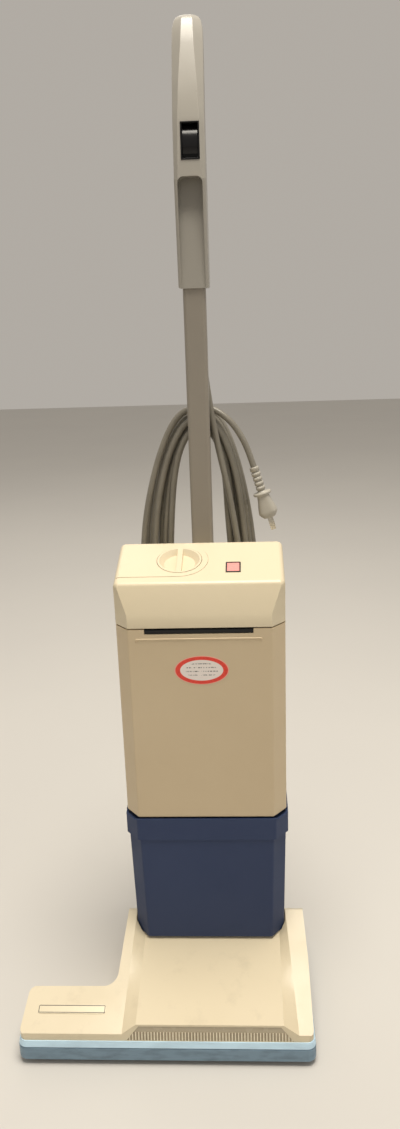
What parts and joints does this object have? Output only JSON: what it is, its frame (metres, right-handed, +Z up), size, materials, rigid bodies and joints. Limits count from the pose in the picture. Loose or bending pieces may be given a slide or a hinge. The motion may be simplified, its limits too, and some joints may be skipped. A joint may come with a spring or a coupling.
{
  "type": "upright vacuum cleaner",
  "caption": "Upright vacuum cleaner with an L-shaped power nozzle, tilting motor and bag housing, hinged bag door, slim tube handle with a rocker switch, and a cord hank on rear hooks.",
  "frame": {"origin": "bottom centre of the cleaner's box, cord left out, on the floor", "axes": "+Z up, +X to the operator's right as seen from the front, +Y from the nozzle's front towards the rear"},
  "size_m": [0.3565, 0.315, 1.181],
  "materials": {
    "cream": "fine satin moulded",
    "blue": "satin moulded",
    "bumper_blue": "soft vinyl",
    "grey": "semi gloss moulded",
    "tube_grey": "satin enamel",
    "lens": "ribbed clear plastic",
    "reflector": "bright",
    "bulb": "clear",
    "badge": "satin with a dark outline",
    "black": "gloss",
    "dark_plastic": "matt",
    "steel": "brushed",
    "zinc": "zinc plated",
    "bristle": "nylon bristle",
    "roll": "satin",
    "belt": "matt",
    "tyre_rubber": "matt",
    "bronze": "sintered",
    "hose": "ribbed flexible",
    "mount_rubber": "matt",
    "filter": "felt",
    "paper": "two ply",
    "seal": "foam",
    "duct": "moulded",
    "pink_lens": "tinted",
    "label": "printed, red border",
    "cord": "vinyl jacket",
    "plug": "moulded vinyl",
    "blade": "nickel plated"
  },
  "bodies": {
    "base": {"base_cover": "cream", "base_pan": "dark_plastic", "sole_plate": "steel", "bumper": "bumper_blue", "badge_plate": "badge", "headlight_lens": "lens", "headlight_reflector": "reflector", "headlight_bulbs": "bulb", "bearings": "bronze", "brush_motor_can": "zinc", "drive_belt": "belt", "rear_axle": "steel", "nozzle_duct": "duct", "suction_hose": "hose", "pedal_pin": "steel", "base_screws": "zinc"},
    "brush": {"brush_roll": "roll", "brush_bristles": "bristle"},
    "brush_motor": {"brush_motor_rotor": "steel"},
    "rear_wheel_left": {"rear_wheel_left": "tyre_rubber"},
    "rear_wheel_right": {"rear_wheel_right": "tyre_rubber"},
    "front_rollers": {"front_rollers": "dark_plastic"},
    "pedal": {"release_pedal": "grey"},
    "upright": {"motor_housing_front": "blue", "motor_housing_rear": "blue", "exhaust_grille": "dark_plastic", "pivot_yoke": "zinc", "suction_motor_can": "zinc", "motor_mounts": "mount_rubber", "motor_filter": "filter", "bag_housing": "cream", "dirt_duct": "duct", "dust_bag": "paper", "door_hinge_pins": "steel", "door_gasket": "seal", "top_cover": "cream", "access_cover": "cream", "indicator_bezel": "dark_plastic", "indicator_lens": "pink_lens", "handle_tube": "tube_grey", "tube_brackets": "grey", "grip_front": "grey", "grip_rear": "grey", "switch_frame": "black", "upright_screws": "zinc", "upper_cord_hook": "grey", "lower_cord_hook": "grey", "strain_relief": "plug", "cord_lead": "cord", "cord_tail": "cord", "cord_hank": "cord", "plug_body": "plug", "plug_blades": "blade"},
    "door": {"bag_door": "cream", "oval_label": "label", "latch_spring": "steel"},
    "latch": {"door_latch": "black"},
    "fan": {"suction_fan": "steel"},
    "knob": {"selector_knob": "cream"},
    "rocker": {"rocker_switch": "black"}
  },
  "joints": [
    {"name": "body_tilt", "type": "hinge", "parent": "base", "child": "upright", "pos_m": [0.05015, 0.05688, 0.032], "axis": [-1, 0, 0], "range_deg": [0, 70], "deforming": ["suction_hose"]},
    {"name": "brush_spin", "type": "hinge", "parent": "base", "child": "brush", "pos_m": [0.05015, -0.12412, 0.0245], "axis": [-1, 0, 0], "continuous": true},
    {"name": "brush_motor_spin", "type": "hinge", "parent": "base", "child": "brush_motor", "pos_m": [0.05015, -0.06012, 0.038], "axis": [-1, 0, 0], "continuous": true},
    {"name": "rear_wheel_left_spin", "type": "hinge", "parent": "base", "child": "rear_wheel_left", "pos_m": [-0.03185, 0.05688, 0.032], "axis": [-1, 0, 0], "continuous": true},
    {"name": "rear_wheel_right_spin", "type": "hinge", "parent": "base", "child": "rear_wheel_right", "pos_m": [0.13215, 0.05688, 0.032], "axis": [-1, 0, 0], "continuous": true},
    {"name": "front_rollers_spin", "type": "hinge", "parent": "base", "child": "front_rollers", "pos_m": [0.05015, -0.07412, 0.009], "axis": [-1, 0, 0], "continuous": true},
    {"name": "pedal_press", "type": "hinge", "parent": "base", "child": "pedal", "pos_m": [0.06315, 0.06788, 0.0505], "axis": [-1, 0, 0], "range_deg": [0, 14], "stiffness_Nm_per_rad": 0.6, "springref_deg": -11.46},
    {"name": "door_open", "type": "hinge", "parent": "upright", "child": "door", "pos_m": [0.05015, -0.02992, 0.2646], "axis": [1, 0, 0], "range_deg": [0, 80]},
    {"name": "latch_press", "type": "slide", "parent": "door", "child": "latch", "axis": [0, 1, 0], "range_m": [0, 0.003], "stiffness_N_per_m": 400, "springref_m": -0.002, "deforming": ["latch_spring"]},
    {"name": "fan_spin", "type": "hinge", "parent": "upright", "child": "fan", "pos_m": [0.05015, 0.02588, 0.158], "axis": [0, 0, 1], "continuous": true},
    {"name": "knob_turn", "type": "hinge", "parent": "upright", "child": "knob", "pos_m": [0.02565, 0.02038, 0.57514], "axis": [0, -0.2921, 0.9564], "range_deg": [0, 90]},
    {"name": "switch_rock", "type": "hinge", "parent": "upright", "child": "rocker", "pos_m": [0.05165, 0.09968, 1.04129], "axis": [1, 0, 0], "range_deg": [-6, 6]}
  ],
  "couplings": [
    {"joint": "brush_spin", "follows": "brush_motor_spin", "ratio": 0.53846}
  ]
}
